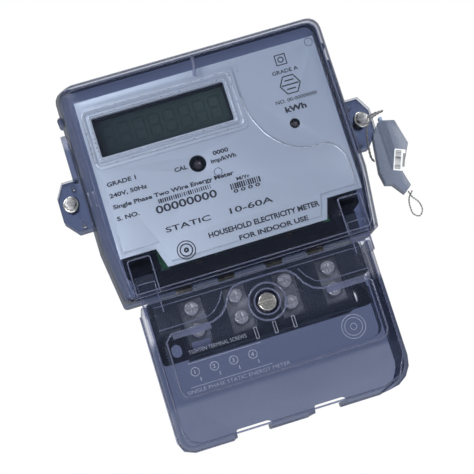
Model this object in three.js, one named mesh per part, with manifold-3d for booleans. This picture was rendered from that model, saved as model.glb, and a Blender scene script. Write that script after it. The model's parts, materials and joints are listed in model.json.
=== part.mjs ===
// Single-phase static watt-hour meter on a wall: smoky see-through covers over a silver nameplate,
// a liquid-crystal register, four brass cable terminals and a wire seal on the right-hand lug.
// Millimetres. +Z up, the wall is the plane Y = 0, the front faces -Y, X runs to the viewer's right.
import * as THREE from 'three';
import { mergeVertices } from 'three/addons/utils/BufferGeometryUtils.js';
import Module from 'manifold-3d';

const wasm = await Module();
wasm.setup();

// ---------------------------------------------------------------- driving sizes
const gap = 0.3;                      // air between two pieces that meet
const wall = 2.2;                     // moulded wall of the clear covers
const body = { half: 66.5, top: 71, bottom: -38.7 };       // outline where base and cover meet
const front = { half: 62.3, top: 62.8, bottom: -41.6 };    // the same outline at the cover's face
const taper = { by: 3.2, from: -12 }; // both sides lean in below this height
const cornerR = 6;                    // corner radius of both outlines
const baseBack = 3;                   // back wall of the base
const baseWall = 3;                   // side wall of the base
const seamY = -17;                    // where the main cover meets the base
const faceY = -50;                    // front of the main cover
const lug = { x: body.half + 6.3, z: 15, out: body.half + 12, low: 1.5, high: 26.5, thick: 3.5 };
const plate = { half: 58, top: 55, bottom: -30.5, notchX: 40, notchZ: -21, y: -46, thick: 1.2 };
const glass = { x0: -plate.half + 5.5, x1: -plate.half + 69, z0: 26.4, z1: 45.5 };   // register window in the nameplate
const calLed = { x: -11.3, z: 11.4, hole: 4 };
const kwhLed = { x: plate.half - 20.5, z: 17, hole: 2.4 };
const boardY = -33;                   // front face of the circuit board
const boardThick = 1.6;
const hinge = { y: -44, z: -34.5, pinR: 1.5, armX0: 45.5, armX1: 54.5, armHalf: 3.5 };
const tcover = { half: 56.8, top: -43.8, bottom: -113.5, backY: -3, skirtY: -39, topY: -45, plateauY: -48,
  plateauTop: -58.5, plateauBottom: -92 };
const block = { half: 50, footHalf: 52.8, top: -43, bottom: -72, backY: -0.3, plateY: -5.3, frontY: -38 };
const pitch = [-33, -12, 12, 33];     // terminal centres along X
const barSize = { half: 5.5, backY: -11, frontY: -29, top: -46, bottom: -67.5 };
const boreR = 4.25;                   // cable bore of a terminal
const boreY = -20;
const screwZ = [-50.5, -61];          // the two clamping screws of a terminal
const boss = { x: 0, z: -59, r: 9, frontY: -50, floorY: -42.3, floorThick: 2 };
const outlets = [[-30, -13], [7, 22.5]];                   // cable outlets in the cover's lower edge
const outletRise = 4;

// ---------------------------------------------------------------- solids
const weld = (g) => {
  const c = g.clone();
  c.deleteAttribute('normal');
  c.deleteAttribute('uv');
  return mergeVertices(c, 1e-5);
};
const toSolid = (g) => {
  const w = weld(g);
  return new wasm.Manifold(new wasm.Mesh({
    numProp: 3,
    vertProperties: new Float32Array(w.attributes.position.array),
    triVerts: new Uint32Array(w.index.array),
  }));
};
const toGeometry = (solid) => {
  const m = solid.getMesh();
  const g = new THREE.BufferGeometry();
  g.setAttribute('position', new THREE.BufferAttribute(new Float32Array(m.vertProperties), 3));
  g.setIndex(new THREE.BufferAttribute(new Uint32Array(m.triVerts), 1));
  const flat = g.toNonIndexed();
  flat.computeVertexNormals();
  return flat;
};
const join = (...gs) => toGeometry(gs.map(toSolid).reduce((a, b) => a.add(b)));
const cut = (g, ...tools) => toGeometry(tools.map(toSolid).reduce((a, b) => a.subtract(b), toSolid(g)));
const common = (a, b) => toGeometry(toSolid(a).intersect(toSolid(b)));

// rounded rectangle in X-Z, anticlockwise seen with X right and Z up; radii start lower left
function rounded(x0, x1, z0, z1, r, steps = 4) {
  const radii = Array.isArray(r) ? r : [r, r, r, r];
  const corners = [[x0, z0, Math.PI], [x1, z0, 1.5 * Math.PI], [x1, z1, 0], [x0, z1, Math.PI / 2]];
  const pts = [];
  corners.forEach(([x, z, a0], i) => {
    const q = radii[i];
    const cx = x + (x === x0 ? q : -q);
    const cz = z + (z === z0 ? q : -q);
    for (let k = 0; k <= steps; k++) {
      const a = a0 + (k / steps) * Math.PI / 2;
      pts.push([cx + q * Math.cos(a), cz + q * Math.sin(a)]);
    }
  });
  return pts;
}
const shapeOf = (pts) => new THREE.Shape(pts.map(([x, z]) => new THREE.Vector2(x, z)));
// outline in X-Z pushed through from yBack forward to yFront
function slab(pts, yBack, yFront, holes = []) {
  const s = shapeOf(pts);
  holes.forEach((h) => s.holes.push(new THREE.Path(h.map(([x, z]) => new THREE.Vector2(x, z)))));
  const g = new THREE.ExtrudeGeometry(s, { depth: yBack - yFront, bevelEnabled: false });
  g.rotateX(Math.PI / 2);
  g.translate(0, yBack, 0);
  return g;
}
const box = (x0, x1, y0, y1, z0, z1) => new THREE.BoxGeometry(x1 - x0, y1 - y0, z1 - z0)
  .translate((x0 + x1) / 2, (y0 + y1) / 2, (z0 + z1) / 2);
// sections [{y, pts}] of equal point count, back to front, skinned and capped
function loft(sections) {
  const n = sections[0].pts.length;
  const pos = [];
  sections.forEach((s) => s.pts.forEach(([x, z]) => pos.push(x, s.y, z)));
  const idx = [];
  for (let s = 0; s + 1 < sections.length; s++) {
    for (let i = 0; i < n; i++) {
      const a = s * n + i;
      const b = s * n + ((i + 1) % n);
      idx.push(a, b, a + n, b, b + n, a + n);
    }
  }
  const faces = THREE.ShapeUtils.triangulateShape(sections[0].pts.map(([x, z]) => new THREE.Vector2(x, z)), []);
  const last = (sections.length - 1) * n;
  faces.forEach(([a, b, c]) => {
    idx.push(a, c, b);
    idx.push(last + a, last + b, last + c);
  });
  const g = new THREE.BufferGeometry();
  g.setAttribute('position', new THREE.Float32BufferAttribute(pos, 3));
  g.setIndex(idx);
  return g;
}
const rodY = (x, z, r, yBack, yFront, seg = 24) => new THREE.CylinderGeometry(r, r, yBack - yFront, seg)
  .translate(x, (yBack + yFront) / 2, z);
const rodZ = (x, y, r, z0, z1, seg = 24) => new THREE.CylinderGeometry(r, r, z1 - z0, seg)
  .rotateX(Math.PI / 2).translate(x, y, (z0 + z1) / 2);
const rodX = (y, z, r, x0, x1, seg = 24) => new THREE.CylinderGeometry(r, r, x1 - x0, seg)
  .rotateZ(Math.PI / 2).translate((x0 + x1) / 2, y, z);
// profile [[radius, distance forward]] turned about a line along Y
function turnedY(x, z, yBack, profile, seg = 24) {
  const g = new THREE.LatheGeometry(profile.map(([r, d]) => new THREE.Vector2(r, d)), seg);
  g.rotateX(Math.PI);
  g.translate(x, yBack, z);
  return g;
}
const circle = (x, z, r, seg = 24) => Array.from({ length: seg }, (_, i) => {
  const a = (i / seg) * 2 * Math.PI;
  return [x + r * Math.cos(a), z + r * Math.sin(a)];
});
const mirror = (pts) => pts.map(([x, z]) => [-x, z]).reverse();

// ---------------------------------------------------------------- scene
const group = new THREE.Group();
group.name = 'static_watthour_meter';
const looks = {
  base: [0x3c4458, 0.3, 0], clear: [0x8b93ad, 0.12, 0], rubber: [0x17181a, 0.8, 0],
  silver: [0xb4bdca, 0.4, 0.3], black: [0x101113, 0.5, 0], lcd: [0x55685f, 0.15, 0],
  board: [0x1d5a34, 0.5, 0], brass: [0xc9a860, 0.3, 1], nickel: [0xc4c5c7, 0.25, 1],
  steel: [0xa8aaad, 0.3, 1], copper: [0xb5734a, 0.35, 1], red: [0x8c1512, 0.25, 0],
  grey: [0x8f949c, 0.6, 0], yellow: [0xb9922e, 0.4, 0], blue: [0x27508c, 0.4, 0],
  white: [0xd8dade, 0.5, 0], green: [0x2d6a4a, 0.4, 0],
};
function add(name, geometry, look) {
  const [color, roughness, metalness] = looks[look];
  const mesh = new THREE.Mesh(geometry, new THREE.MeshStandardMaterial({ color, roughness, metalness }));
  mesh.name = name;
  group.add(mesh);
}

// outline of the case inset by q, at the seam (t = 0) or at the face (t = 1)
const lerp = (a, b, t) => a + (b - a) * t;
const caseOutline = (t, q) => {
  const half = lerp(body.half, front.half, t) - q;
  const r = Math.max(cornerR - q, 0.8);
  const pts = rounded(-half + taper.by, half - taper.by, lerp(body.bottom, front.bottom, t) + q,
    lerp(body.top, front.top, t) - q, [2, 2, r, r]);
  const upper = pts.length / 2;
  const lean = pts.map(([x, z], i) => (i < upper ? [x, z] : [x + Math.sign(x) * taper.by, z]));
  return [...lean.slice(0, upper), [half, taper.from], ...lean.slice(upper), [-half, taper.from]];
};

// ---------------------------------------------------------------- base
const lugOutline = [[body.half - 2.5, lug.low], [lug.out - 5.5, lug.low], [lug.out, lug.low + 6.5], [lug.out, lug.high - 7],
  [lug.out - 4, lug.high], [body.half - 2.5, lug.high]];
const lugs = [lugOutline, mirror(lugOutline)];
const lugHoles = [lug.low + 2.6, lug.high - 3.4];           // small seal-wire holes above and below the screw
const slot = (x, z, w, h) => rounded(x - w / 2, x + w / 2, z - h / 2, z + h / 2, w / 2 - 0.01, 5);
const fixing = { x: 44.7, z: -65, w: 5, h: 6.6 };
const keyhole = { z: 44, r: 5, slotW: 5.6, rise: 9, depth: 6 };
const posts = [[8 - plate.half, 18], [plate.half - 8, 18], [-34, -22], [34, -22]]; // circuit board pillars
const pinX = 22.5;
const tongue = { half: 4, backY: -11, frontY: -13, top: -27.3 };
let base = join(
  slab(caseOutline(0, 0), 0, seamY + gap),
  ...lugs.map((o) => slab(o, -9, seamY + gap)),
  ...[-1, 1].map((s) => box(s > 0 ? 66 : -69, s > 0 ? 69 : -66, -14, -4, 28, 50)),
  ...[-1, 1].map((s) => rodY(s * 66.6, 57, 1.6, -4, seamY + gap, 12)),
);
base = cut(base,
  slab(caseOutline(0, baseWall), -baseBack, seamY - 1),
  slab(caseOutline(0, 0.75), seamY + 1.5, seamY - 1, [caseOutline(0, 2.15)]),
  ...[-1, 1].flatMap((s) => lugHoles.map((z) => rodY(s * (lug.x - 3), z, 1.1, 0, -30, 10))),
  ...[-1, 1].map((s) => rodY(s * lug.x, lug.z, 3.1, 0, -30)),
  ...pitch.map((x) => box(x - tongue.half - 0.5, x + tongue.half + 0.5, tongue.frontY - 0.5,
    tongue.backY + 0.5, -46, -34)),
);
base = join(base, slab(rounded(-12, 12, keyhole.z - 10, keyhole.z + 16, 3), -1, -baseBack - keyhole.depth));
base = cut(base,
  rodY(0, keyhole.z, keyhole.r, 1, -keyhole.depth),
  box(-keyhole.slotW / 2, keyhole.slotW / 2, -keyhole.depth, 1, keyhole.z, keyhole.z + keyhole.rise),
  rodY(0, keyhole.z + keyhole.rise, keyhole.slotW / 2, 1, -keyhole.depth));
add('base', base, 'base');

// black chassis tray: pillars for the circuit board, walls as deep as the board
const chassisBack = -baseBack - gap;
const chassisHalf = plate.half - 0.6;
const chassisArea = (q) => rounded(-chassisHalf + q, chassisHalf - q, -26 + q, 54.4 - q, 2);
add('chassis', cut(
  join(slab(chassisArea(0), chassisBack, chassisBack - 1.6),
    slab(chassisArea(0), chassisBack - 1, boardY + boardThick + gap, [chassisArea(1.5)]),
    ...posts.map(([x, z]) => rodY(x, z, 3.6, chassisBack - 1, boardY + boardThick + gap, 16))),
  slab(rounded(-12.5, 12.5, keyhole.z - 10.5, keyhole.z + 12, 3), 0, -baseBack - keyhole.depth - gap),
  ...posts.map(([x, z]) => rodY(x, z, 1.5, boardY + 12, boardY - 2, 12))), 'black');
// black screen between the terminal links and the board; the sensing pins pass through it
add('terminal_shroud', cut(box(-56, 56, -19.2, -17.6, -36, -26.4),
  ...[-1, 1].map((s) => rodY(s * pinX, -28.3, 1.2, -10, -25, 12))), 'black');

// gasket lies in the groove of the base's rim
add('gasket', slab(caseOutline(0, 0.95), seamY + 1.2, seamY + 0.25, [caseOutline(0, 1.95)]), 'rubber');

// ---------------------------------------------------------------- main cover
const atY = (y) => (y - seamY) / (faceY - seamY);
const outer = (q) => [
  { y: seamY, pts: caseOutline(0, q) },
  { y: faceY + 2.6, pts: caseOutline(atY(faceY + 2.6), q) },
  { y: faceY + 0.8, pts: caseOutline(1, q + 0.7) },
  { y: faceY, pts: caseOutline(1, q + 2.3) },
];
const outerShell = loft(outer(0));
const innerVoid = loft([
  { y: seamY + 1, pts: caseOutline(0, wall) },
  { y: faceY + 3.4, pts: caseOutline(atY(faceY + 3.4), wall) },
  { y: faceY + wall, pts: caseOutline(1, wall + 1.6) },
]);
const pocket = { in: hinge.armX0 - 0.8, out: hinge.armX1 + 0.8, wallIn: 1.8, wallOut: 2.7, top: -23.5, topWall: 1.7,
  floorY: -38, floorThick: 2 };
const sideBox = (s, x0, x1, ...rest) => box(s > 0 ? x0 : -x1, s > 0 ? x1 : -x0, ...rest);
let cover = cut(outerShell, innerVoid);
for (const s of [-1, 1]) {
  const well = common(outerShell, sideBox(s, pocket.in - pocket.wallIn, pocket.out + pocket.wallOut, faceY - 1,
    pocket.floorY + pocket.floorThick, -45, pocket.top + pocket.topWall));
  cover = join(cover, well);
}
cover = join(cover, ...lugs.map((o) => slab(o, seamY, seamY - lug.thick)));
cover = cut(cover,
  slab(caseOutline(0, wall), seamY + 1, seamY - 4),
  ...[-1, 1].flatMap((s) => [
    sideBox(s, pocket.in, pocket.out, faceY - 3, pocket.floorY, -50, pocket.top),
    sideBox(s, pocket.in, pocket.out, pocket.floorY - 1, pocket.floorY + 0.01, -50, pocket.top),
    rodX(hinge.y, hinge.z, hinge.pinR + 0.35, s > 0 ? 50 : -57.6, s > 0 ? 57.6 : -50, 16),
    rodY(s * lug.x, lug.z, 2.7, 0, -30),
    ...lugHoles.map((z) => rodY(s * (lug.x - 3), z, 1.1, 0, -30, 10)),
  ]));
// gate mark, top rib with its ball and the corner stud
cover = join(cover,
  rodY(-3.8, 4.3, 2, faceY + 1, faceY - 0.35, 16),
  box(0, 0.9, faceY - 0.3, faceY + 1, 54, 60.2),
  new THREE.SphereGeometry(1, 12, 8).translate(0.45, faceY, 54),
  rodY(54.4, 51.2, 2, faceY + 1, faceY - 0.9, 16));
add('main_cover', cover, 'clear');

// ---------------------------------------------------------------- nameplate and what stands behind it
const plateOutline = (q) => [
  [-plate.half + q, plate.notchZ + q], [-plate.notchX - 1 + q, plate.notchZ + q],
  [-plate.notchX + 2 + q, plate.bottom + q], [plate.notchX - 2 - q, plate.bottom + q],
  [plate.notchX + 1 - q, plate.notchZ + q], [plate.half - q, plate.notchZ + q],
  [plate.half - q, plate.top - q], [-plate.half + q, plate.top - q]];
const stepPanel = [
  [-plate.half + 2.5, plate.notchZ + 2.5], [-plate.notchX + 1.5, plate.notchZ + 2.5],
  [-plate.notchX + 4.2, plate.bottom + 2.2], [plate.notchX - 4.2, plate.bottom + 2.2],
  [plate.notchX - 1.5, plate.notchZ + 2.5], [plate.half - 2.6, plate.notchZ + 2.5],
  [55.6, -8], [55, -3.5], [53, 0.5], [50, 3], [46.5, 4.1], [41, 4.2], [35.3, 5.4], [30, 8.3], [25.6, 12.4],
  [22.6, 16.3], [20.4, 20.6], [18.6, 25], [17.3, 29.5], [16.8, 36], [-plate.half + 2.5, 36]];
const plateBack = plate.y + plate.thick;
const windowOutline = (q) => rounded(glass.x0 - q, glass.x1 + q, glass.z0 - q, glass.z1 + q, 0.8 + q * 0.3, 3);
let nameplate = join(
  slab(plateOutline(0), plateBack, plate.y),
  slab(stepPanel, plate.y + 0.4, plate.y - 0.8),
  slab(rounded(glass.x0 - 3.8, glass.x1 + 5.5, glass.z0 - 5.6, glass.z1 + 6, 2.5, 3), plate.y + 0.4, plate.y - 1.3));
nameplate = cut(nameplate,
  slab(windowOutline(0), 0, -60),
  slab(windowOutline(2.7), plate.y - 0.7, -60, [windowOutline(2)]),
  rodY(calLed.x, calLed.z, calLed.hole, 0, -60),
  rodY(kwhLed.x, kwhLed.z, kwhLed.hole, 0, -60));
add('nameplate', nameplate, 'silver');
add('plate_carrier', slab(plateOutline(0.9), boardY - gap, plateBack + gap, [plateOutline(2.8)]), 'black');

const frameY = { front: plateBack + gap, lip: -42.2, back: boardY - gap };
const lcdFrame = cut(
  box(glass.x0 - 2.4, glass.x1 + 2.4, frameY.front, frameY.back, glass.z0 - 2.4, glass.z1 + 2.2),
  box(glass.x0 + 1, glass.x1 - 1, -60, 0, glass.z0 + 1, glass.z1 - 1),
  box(glass.x0 - 1, glass.x1 + 1, frameY.lip, 0, glass.z0 - 1, glass.z1 + 1));
add('lcd_frame', lcdFrame, 'black');
add('lcd_glass', box(glass.x0 - 0.6, glass.x1 + 0.6, frameY.lip + gap, frameY.lip + gap + 2.2,
  glass.z0 - 0.6, glass.z1 + 0.6), 'lcd');
const lcdBack = frameY.lip + gap + 2.2 + gap;
add('lcd_reflector', box(glass.x0 + 1, glass.x1 - 1, lcdBack, lcdBack + 0.6, glass.z0 + 2.2, glass.z1 - 2.2), 'white');
[['lower', glass.z0 - 0.2], ['upper', glass.z1 - 1.4]].forEach(([where, z]) => {
  add(`contact_strip_${where}`, box(glass.x0 + 1.5, glass.x1 - 1.5, lcdBack, boardY - gap, z, z + 1.6), 'rubber');
});

// ---------------------------------------------------------------- circuit board and its parts
const boardBack = boardY + boardThick;
const boardHalf = plate.half - 2;
const coilX = plate.half - 33;
const board = cut(
  slab([[-boardHalf, -20], [-41, -20], [-41, -29.5], [41, -29.5], [41, -20], [boardHalf, -20], [boardHalf, 52],
    [-boardHalf, 52]], boardBack, boardY),
  ...posts.map(([x, z]) => rodY(x, z, 1.7, 0, -60, 16)));
add('circuit_board', board, 'board');
const led = (r, tip) => [[0, 0], [r + 0.5, 0], [r + 0.5, 1], [r, 1], [r, tip - r], [r * 0.87, tip - r / 2],
  [r * 0.5, tip - r * 0.13], [0, tip]];
add('calibration_led', turnedY(calLed.x, calLed.z, boardY - gap, led(2.5, 12.3), 20), 'red');
add('pulse_led', turnedY(kwhLed.x, kwhLed.z, boardY - gap, led(1.5, 12.5), 20), 'red');
posts.forEach(([x, z], i) => {
  const head = turnedY(x, z, boardY - gap, [[0, -9], [1.2, -9], [1.2, 0], [2.7, 0], [2.7, 1.4], [1.6, 2.1], [0, 2.1]], 16);
  const y = boardY - gap - 2.1;
  add(`board_screw_${i + 1}`, cut(head, box(x - 1.7, x + 1.7, y - 1, y + 1, z - 0.3, z + 0.3),
    box(x - 0.3, x + 0.3, y - 1, y + 1, z - 1.7, z + 1.7)), 'steel');
});
const behind = boardBack + gap;
add('supply_transformer', join(box(coilX - 15, coilX + 15, behind, behind + 20, 8, 30),
  box(coilX - 9, coilX + 9, behind, behind + 23, 5, 33)), 'yellow');
add('battery', rodX(behind + 7.6, 30, 7.3, 10 - plate.half, 38 - plate.half), 'green');
add('film_capacitor', box(-20, -2, behind, behind + 14, -2, 7), 'blue');
add('filter_capacitor', turnedY(-28, 4, behind + 16, [[0, 0], [5, 0], [5, 14.4], [4.6, 15.2], [5, 16], [0, 16]], 20), 'black');
add('varistor', rodY(-36, -10, 6, behind + 4, behind, 20), 'blue');
add('metering_chip', box(-8, 4, boardY - gap - 1.8, boardY - gap, -16, -6), 'black');
add('display_chip', box(20, 32, boardY - gap - 1.8, boardY - gap, -14, -2), 'black');

// ---------------------------------------------------------------- terminals
const chamber = (x) => [
  box(x - barSize.half - gap, x + barSize.half + gap, block.frontY - 1, barSize.backY + gap,
    barSize.bottom - gap, barSize.top + gap),
  box(x - tongue.half - 0.5, x + tongue.half + 0.5, tongue.frontY - 0.5, tongue.backY + 0.5, -50, -40),
  rodZ(x, boreY, boreR + 1.4, block.bottom - 1, barSize.bottom),
];
add('terminal_block', cut(
  slab(rounded(-block.half, block.half, block.bottom, block.top, 2), block.plateY - gap, block.frontY),
  ...pitch.flatMap(chamber),
  rodY(boss.x, boss.z, 4, -22.7, -60),
  ...[-1, 1].map((s) => sideBox(s, 40.4, 60, -60, 0, -80, -58))), 'black');
add('terminal_foot', cut(
  slab(rounded(-block.footHalf, block.footHalf, block.bottom + 1.5, -39.2, 2), block.backY, block.plateY),
  ...[-1, 1].map((s) => slab(slot(s * fixing.x, fixing.z, fixing.w, fixing.h), 1, -20))), 'black');
pitch.forEach((x, i) => {
  const bar = cut(
    join(box(x - barSize.half, x + barSize.half, barSize.frontY, barSize.backY, barSize.bottom, barSize.top),
      box(x - tongue.half, x + tongue.half, tongue.frontY, tongue.backY, barSize.top - 1, tongue.top)),
    rodZ(x, boreY, boreR, barSize.bottom - 1, barSize.top - 3),
    ...screwZ.map((z) => rodY(x, z, 2.6, boreY, barSize.frontY - 1, 20)));
  add(`terminal_bar_${i + 1}`, bar, 'nickel');
  screwZ.forEach((z, k) => {
    const y = barSize.frontY - 2 - gap;
    const tip = y + 6.2;
    const s = turnedY(x, z, tip, [[0, 0], [1.6, 0], [2.4, 0.8], [2.4, 6.2], [3.6, 6.2], [3.6, 9.4], [3, 10], [0, 10]]);
    const top = tip - 10;
    add(`clamp_screw_${i + 1}${'ab'[k]}`, cut(s, box(x - 4, x + 4, top - 1, top + 1.3, z - 0.5, z + 0.5),
      box(x - 0.5, x + 0.5, top - 1, top + 1.3, z - 1.9, z + 1.9)), 'nickel');
  });
});
const linkY = tongue.frontY - gap;
add('shunt', box(pitch[0] - 4, pitch[1] + 4, linkY - 1.5, linkY, -35, -27.3), 'copper');
add('neutral_link', box(pitch[2] - 4, pitch[3] + 4, linkY - 1.5, linkY, -35, -27.3), 'brass');
add('sense_pin_live', rodY(-pinX, -28.3, 0.7, linkY - 1.5 - gap, behind, 10), 'brass');
add('sense_pin_neutral', rodY(pinX, -28.3, 0.7, linkY - 1.5 - gap, behind, 10), 'brass');
add('screw_insert', cut(rodY(boss.x, boss.z, 3.7, -23, -34.6), rodY(boss.x, boss.z, 2.15, 0, -60, 20)), 'brass');

// ---------------------------------------------------------------- terminal cover
const t = tcover;
const low = [7, 13, 1, 1];            // the lower-right corner is cut away further than the lower-left
const skirt = (half, zLow, q = 0) => rounded(-half + q, half - q, zLow + q, t.top, low.map((r) => Math.max(r - q, 0.6)));
// raised front: full width below, and in the middle up around the screw boss
const plateau = (q) => {
  const [x, z0, z1] = [50.6 - q, t.plateauBottom + q, t.plateauTop - q];
  const right = [[x - 4, z0], [x - 1.2, z0 + 1.2], [x, z0 + 4], [x, z1 - 3], [x - 3, z1], [28 - q, z1], [23.5 - q, z1 + 1.6],
    [20 - q, z1 + 5], [17.6 - q, z1 + 9.4], [14.4 - q, z1 + 12.6], [10 - q, z1 + 13.4]];
  return [...right, ...mirror(right)];
};
let lid = join(
  loft([{ y: t.backY, pts: skirt(t.half, t.bottom) }, { y: t.skirtY + 3, pts: skirt(t.half - 1.2, t.bottom + 0.6) },
    { y: t.skirtY, pts: skirt(t.half - 3.4, t.bottom + 2.6) }]),
  slab(rounded(-52, 52, t.plateauTop - 6, t.top, 1.5), t.skirtY + 2, t.topY),
  loft([{ y: t.skirtY + 2, pts: plateau(0) }, { y: t.plateauY + 0.8, pts: plateau(1.2) },
    { y: t.plateauY, pts: plateau(2) }]),
);
lid = cut(lid,
  loft([{ y: t.backY + 1, pts: rounded(-t.half + 2, t.half - 2, t.bottom + 2, t.top + 3, [5, 11, 1, 1]) },
    { y: t.skirtY + 3, pts: rounded(-t.half + 3.2, t.half - 3.2, t.bottom + 2.6, t.top + 3, [5, 11, 1, 1]) },
    { y: t.skirtY + 2, pts: rounded(-t.half + 4.2, t.half - 4.2, t.bottom + 3.6, t.top + 3, [5, 11, 1, 1]) }]),
  slab(rounded(-50.3, 50.3, t.plateauTop - 4.2, t.top + 3, 0.4), t.skirtY + 4, t.topY + 2),
  slab(plateau(4), t.skirtY + 4, t.plateauY + 2));
const teardrop = [...circle(boss.x, boss.z, boss.r, 28).filter(([, z]) => z < boss.z + 5.5), [1.2, boss.z + 13.6],
  [-1.2, boss.z + 13.6]];
teardrop.sort((a, b) => Math.atan2(a[1] - boss.z, a[0]) - Math.atan2(b[1] - boss.z, b[0]));
const arm = (s) => join(
  sideBox(s, hinge.armX0, hinge.armX1, hinge.y - hinge.armHalf, hinge.y + hinge.armHalf, -50, hinge.z),
  rodX(hinge.y, hinge.z, hinge.armHalf, s > 0 ? hinge.armX0 : -hinge.armX1, s > 0 ? hinge.armX1 : -hinge.armX0, 20),
  rodX(hinge.y, hinge.z, hinge.pinR, s > 0 ? 50 : -57.2, s > 0 ? 57.2 : -50, 16));
lid = join(lid, arm(-1), arm(1),
  slab(teardrop, boss.floorY + boss.floorThick, boss.frontY),
  ...[-8.8, 0, 9].map((x) => box(x - 0.8, x + 0.8, t.plateauY - 0.8, t.plateauY + 1, -74, -68.2)));
lid = cut(lid,
  rodY(boss.x, boss.z, 5.4, boss.floorY, -60),
  rodY(boss.x, boss.z, 2.4, 0, -60, 20),
  ...outlets.map(([x0, x1]) => slab(rounded(x0, x1, t.bottom - 8, t.bottom + outletRise, [0.5, 0.5, 2.5, 1]), 0, -60)));
add('terminal_cover', lid, 'clear');

// captive sealing screw, shown undone: the thread is clear of its insert and the clip holds it in the boss
const released = 4;                   // travel from undone to driven home
const seatY = boss.floorY - released;
let coverScrew = turnedY(boss.x, boss.z, -35, [[0, 0], [1.7, 0], [2, 0.4], [2, 3.9], [1.5, 3.9], [1.5, 5.3],
  [2, 5.3], [2, -35 - seatY], [4.3, -35 - seatY], [4.3, -35 - seatY + 2.6], [3.8, -35 - seatY + 3], [0, -35 - seatY + 3]]);
coverScrew = cut(coverScrew, box(-5, 5, seatY - 4, seatY - 1.7, boss.z - 0.6, boss.z + 0.6),
  rodX(seatY - 0.9, boss.z, 0.6, -6, 6, 10));
add('cover_screw', coverScrew, 'nickel');
add('screw_clip', cut(rodY(boss.x, boss.z, 3.2, -39.2, -40), rodY(boss.x, boss.z, 1.6, 0, -60, 20)), 'steel');

// ---------------------------------------------------------------- lug screws and eyelets
[['left', -1], ['right', 1]].forEach(([side, s]) => {
  const x = s * lug.x;
  const y = seamY - lug.thick - gap;
  add(`lug_eyelet_${side}`, cut(
    turnedY(x, lug.z, y, [[0, -3], [2.4, -3], [2.4, 0], [4, 0], [4, 0.6], [3.5, 1.2], [0, 1.2]]),
    rodY(x, lug.z, 1.75, 0, -40, 20)), 'nickel');
  let screw = turnedY(x, lug.z, -10, [[0, 0], [1.1, 0], [1.5, 0.5], [1.5, -10 - y + 1.2 + gap], [2.7, -10 - y + 1.2 + gap],
    [2.7, -10 - y + 3.2], [2.3, -10 - y + 3.8], [0, -10 - y + 3.8]], 20);
  const top = y - 3.8;
  screw = cut(screw, box(x - 3, x + 3, top - 1, top + 0.8, lug.z - 0.35, lug.z + 0.35),
    rodX(y - 2.3, lug.z, 0.45, x - 4, x + 4, 10));
  add(`lug_screw_${side}`, screw, 'steel');
  add(`lug_insert_${side}`, cut(rodY(x, lug.z, 2.8, -9.3, seamY + gap + 0.4), rodY(x, lug.z, 1.65, 0, -40, 20)), 'brass');
});

// ---------------------------------------------------------------- wire seal on the right-hand lug
const sealY = { back: -26.2, front: -33.2 };
const fromLug = ([x, ...rest]) => [lug.x + x, ...rest];
const sealOutline = [[5.6, 9.6], [0.8, 4.2], [-1.8, -14], [-0.8, -20.4], [2.6, -21.4], [6.8, -27.2],
  [10.3, -24.4], [8.6, -17.4], [15.4, -4.6],
  [12.6, 7.8]].map(fromLug).reverse();
const sealAxis = { x: lug.x + 6.8, r: 3.3, z0: -14, z1: 6 };
let seal = slab(sealOutline, sealY.back, sealY.front);
seal = cut(seal, rodZ(sealAxis.x, -29.7, sealAxis.r - 0.9, sealAxis.z0, 12, 16));
add('seal_body', seal, 'clear');
add('seal_rotor', join(rodZ(sealAxis.x, -29.7, sealAxis.r - 1.2, sealAxis.z0 + gap, 9.2, 16),
  box(sealAxis.x - 0.6, sealAxis.x + 0.6, -32, -27.4, 9, 11.4)), 'blue');
// twisted wire: from the drilled head of the right lug screw to the side of the seal
const tube = (pts, r, steps) => {
  const curve = new THREE.CatmullRomCurve3(pts.map((p) => new THREE.Vector3(...p)), false, 'centripetal');
  const ring = new THREE.Shape(circle(0, 0, r, 8).map(([a, b]) => new THREE.Vector2(a, b)));
  return new THREE.ExtrudeGeometry(ring, { steps, extrudePath: curve, bevelEnabled: false });
};
const wireRoute = [[3.1, -23.1, 15], [6.7, -23.3, 15.6], [9.5, -24.6, 15.4], [9.6, -27.3, 14.8], [6.6, -29.4, 13.8],
  [2.8, -30, 12.2], [-0.6, -30, 8.2], [-2, -30, 3], [-2.9, -30, -2.5], [-3, -30, -6.4], [-2.1, -30, -8.3]].map(fromLug);
const tailRoute = [[8.7, -30, -26.5], [9.6, -30, -29.4], [12, -30, -33], [12.4, -29.8, -37], [10.4, -29.4, -39.2],
  [8, -29, -37.6], [7.6, -28.4, -33.6], [8.6, -27.6, -29.6], [11.6, -25.6, -26.2]].map(fromLug);
add('seal_wire', tube(wireRoute, 0.6, 60), 'steel');
add('seal_wire_tail', tube(tailRoute, 0.4, 50), 'steel');

export default group;
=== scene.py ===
# Single-phase static watt-hour meter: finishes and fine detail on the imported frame. Metres.
import json
import math

import bmesh
import bpy
from mathutils import Matrix, Vector


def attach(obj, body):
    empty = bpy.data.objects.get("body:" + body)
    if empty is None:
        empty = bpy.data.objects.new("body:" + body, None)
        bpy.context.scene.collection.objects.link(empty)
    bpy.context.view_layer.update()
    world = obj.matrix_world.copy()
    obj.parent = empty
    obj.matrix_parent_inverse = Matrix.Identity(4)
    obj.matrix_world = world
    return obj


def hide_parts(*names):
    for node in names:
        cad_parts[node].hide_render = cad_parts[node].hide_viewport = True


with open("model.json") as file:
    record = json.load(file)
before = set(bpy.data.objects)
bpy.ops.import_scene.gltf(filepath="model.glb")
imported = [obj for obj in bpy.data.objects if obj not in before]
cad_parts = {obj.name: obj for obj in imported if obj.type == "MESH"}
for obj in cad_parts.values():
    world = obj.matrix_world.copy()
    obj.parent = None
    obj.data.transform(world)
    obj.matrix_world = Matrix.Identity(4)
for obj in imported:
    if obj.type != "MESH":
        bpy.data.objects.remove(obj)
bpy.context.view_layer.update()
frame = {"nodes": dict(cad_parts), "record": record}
MM = 0.001
scene = bpy.context.scene
nodes = frame["nodes"]


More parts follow.
